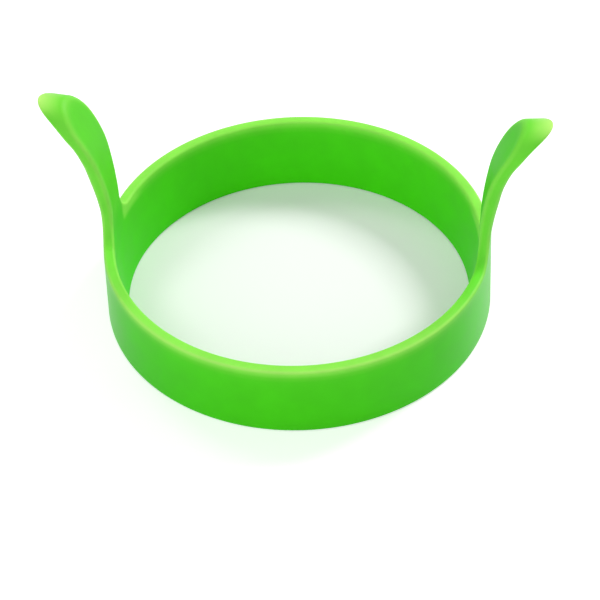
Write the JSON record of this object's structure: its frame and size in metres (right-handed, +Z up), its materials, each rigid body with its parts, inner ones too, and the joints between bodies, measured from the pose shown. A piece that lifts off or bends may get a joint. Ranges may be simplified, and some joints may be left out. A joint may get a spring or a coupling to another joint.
{
  "type": "egg ring",
  "caption": "Round moulded ring that keeps a frying egg in shape, with an upright, outward-flaring, springy handle at each side.",
  "frame": {"origin": "centre of the flat annular base, at the level of the pan that the ring stands on", "axes": "+Z up, out of the pan; +X from the middle of the ring to the right handle, so both handles lie on the X axis; +Y away from the viewer of the picture"},
  "size_m": [0.1012, 0.08, 0.0485],
  "materials": {
    "green_silicone": "satin moulded silicone, bright green, paler at thin edges"
  },
  "bodies": {
    "ring": {"ring_wall": "green_silicone"},
    "left_grip": {"left_handle": "green_silicone"},
    "right_grip": {"right_handle": "green_silicone"}
  },
  "joints": [
    {"name": "left_handle_flex", "type": "hinge", "parent": "ring", "child": "left_grip", "pos_m": [-0.03855, 0, 0.023], "axis": [0, 1, 0], "range_deg": [-45, 85], "stiffness_Nm_per_rad": 0.004},
    {"name": "right_handle_flex", "type": "hinge", "parent": "ring", "child": "right_grip", "pos_m": [0.03855, 0, 0.023], "axis": [0, -1, 0], "range_deg": [-45, 85], "stiffness_Nm_per_rad": 0.004}
  ]
}
